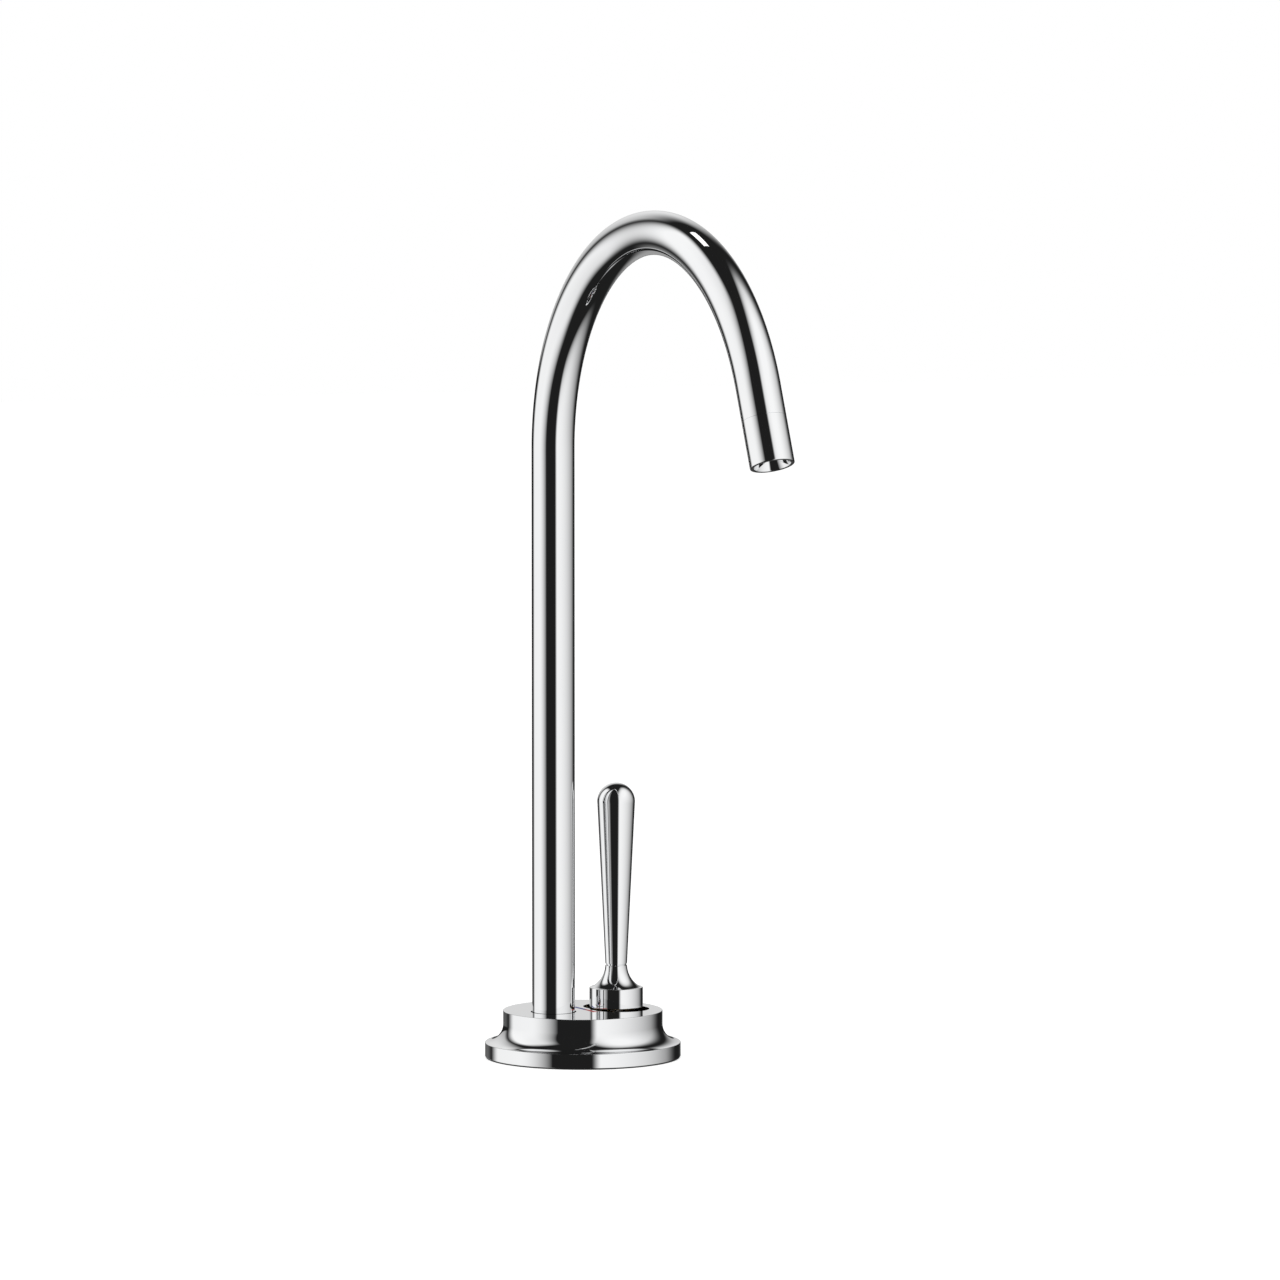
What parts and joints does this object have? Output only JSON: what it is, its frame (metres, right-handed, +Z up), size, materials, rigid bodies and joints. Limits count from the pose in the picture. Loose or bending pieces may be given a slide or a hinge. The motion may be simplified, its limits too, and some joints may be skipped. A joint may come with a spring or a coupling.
{
  "type": "dispenser tap",
  "caption": "Chrome dispenser tap with a flared round base, a swivelling swan-neck spout and an upright tilting lever beside the column.",
  "frame": {"origin": "centre of the base on the worktop's surface", "axes": "+Z up; the spout points to -Y, its column stands at -X and the lever at +X"},
  "size_m": [0.0826, 0.239, 0.4132],
  "materials": {
    "chrome": "mirror polished chrome plate",
    "blue_enamel": "gloss",
    "red_enamel": "gloss",
    "brass": "turned",
    "steel": "bright stainless",
    "black_rubber": "matt",
    "white_plastic": "moulded",
    "grey_plastic": "moulded",
    "black_plastic": "moulded, satin",
    "white_ceramic": "lapped"
  },
  "bodies": {
    "base": {"base_rosette": "chrome", "cold_mark": "blue_enamel", "hot_mark": "red_enamel", "base_gasket": "black_rubber", "base_screws": "steel", "valve_body": "brass", "threaded_shank": "brass", "mounting_nut": "brass", "rubber_washer": "black_rubber", "steel_washer": "steel", "glide_bush": "white_plastic", "glide_washer": "white_plastic", "snap_ring": "steel", "pivot_pin": "steel", "cartridge_housing": "grey_plastic", "stem_seal": "black_rubber", "cartridge_nut": "brass", "dust_cap": "black_plastic", "fixed_disc": "white_ceramic", "port_seals": "black_rubber"},
    "spout": {"spout_tube": "chrome", "nozzle_sleeve": "chrome", "nozzle_o_ring": "black_rubber", "aerator_housing": "white_plastic", "aerator_screen": "steel", "aerator_washer": "black_rubber", "spout_spigot": "brass", "spigot_o_rings": "black_rubber"},
    "lever": {"lever_hub": "chrome", "hub_grub_screw": "steel", "lever_grip": "chrome", "joining_stud": "steel", "lever_stem": "steel"},
    "slider": {"moving_disc": "white_ceramic", "slider_carrier": "grey_plastic"}
  },
  "joints": [
    {"name": "spout_swivel", "type": "hinge", "parent": "base", "child": "spout", "pos_m": [-0.0139, 0, 0], "axis": [0, 0, 1], "continuous": true},
    {"name": "lever_tilt", "type": "hinge", "parent": "base", "child": "lever", "pos_m": [0.0159, 0, 0.0125], "axis": [1, 0, 0], "range_deg": [-22, 22]},
    {"name": "slider_shift", "type": "slide", "parent": "base", "child": "slider", "axis": [0, 1, 0], "range_m": [-0.0016, 0.0016]}
  ],
  "couplings": [
    {"joint": "slider_shift", "follows": "lever_tilt", "m_per_rad": 0.0039}
  ]
}
